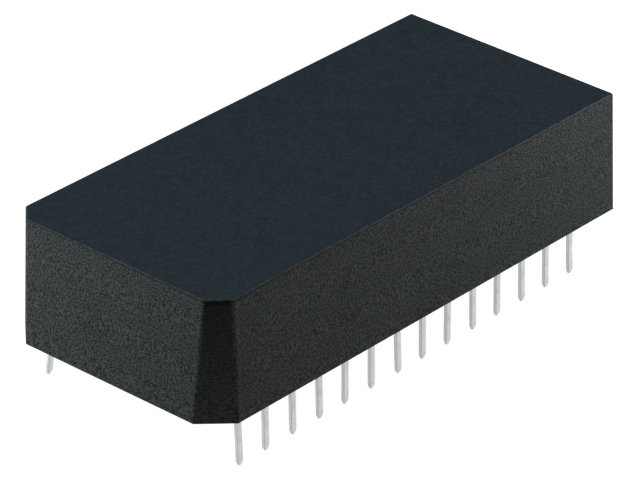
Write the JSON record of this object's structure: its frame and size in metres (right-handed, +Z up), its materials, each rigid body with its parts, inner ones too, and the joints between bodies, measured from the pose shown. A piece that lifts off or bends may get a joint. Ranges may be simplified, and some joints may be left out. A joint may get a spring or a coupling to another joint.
{
  "type": "tall dual in-line chip module",
  "caption": "Tall black dual in-line chip module: moulded package and coin cell potted in a drafted cap, with rows of flat pointed leads to plug into a board.",
  "frame": {"origin": "centre of the lead pattern, in the seating plane where the shoulders meet a board", "axes": "+X along the lead rows, from the cut corners at the pin 1 end; +Y across the rows, away from the row of lead 1; +Z up from the board to the cap's top face"},
  "size_m": [0.0394, 0.0178, 0.0126],
  "materials": {
    "cap_plastic": "matte, finely spark-eroded sides",
    "package_plastic": "matte moulding compound",
    "potting_epoxy": "glossy cast epoxy",
    "lead_metal": "satin tin plate",
    "die_silicon": "polished silicon",
    "wire_gold": "bright gold",
    "cell_steel": "nickel-plated steel",
    "strip_nickel": "rolled nickel"
  },
  "bodies": {
    "root": {"cap": "cap_plastic", "potting": "potting_epoxy", "package_body": "package_plastic", "die_paddle": "lead_metal", "silicon_die": "die_silicon", "bond_wires": "wire_gold", "battery_cell": "cell_steel", "cell_tab_plus": "strip_nickel", "cell_tab_minus": "strip_nickel", "cell_lead_plus": "lead_metal", "cell_lead_minus": "lead_metal", "lead_01": "lead_metal", "lead_02": "lead_metal", "lead_03": "lead_metal", "lead_04": "lead_metal", "lead_05": "lead_metal", "lead_06": "lead_metal", "lead_07": "lead_metal", "lead_08": "lead_metal", "lead_09": "lead_metal", "lead_10": "lead_metal", "lead_11": "lead_metal", "lead_12": "lead_metal", "lead_13": "lead_metal", "lead_14": "lead_metal", "lead_15": "lead_metal", "lead_16": "lead_metal", "lead_17": "lead_metal", "lead_18": "lead_metal", "lead_19": "lead_metal", "lead_20": "lead_metal", "lead_21": "lead_metal", "lead_22": "lead_metal", "lead_23": "lead_metal", "lead_24": "lead_metal", "lead_25": "lead_metal", "lead_26": "lead_metal", "lead_27": "lead_metal", "lead_28": "lead_metal"}
  },
  "joints": []
}
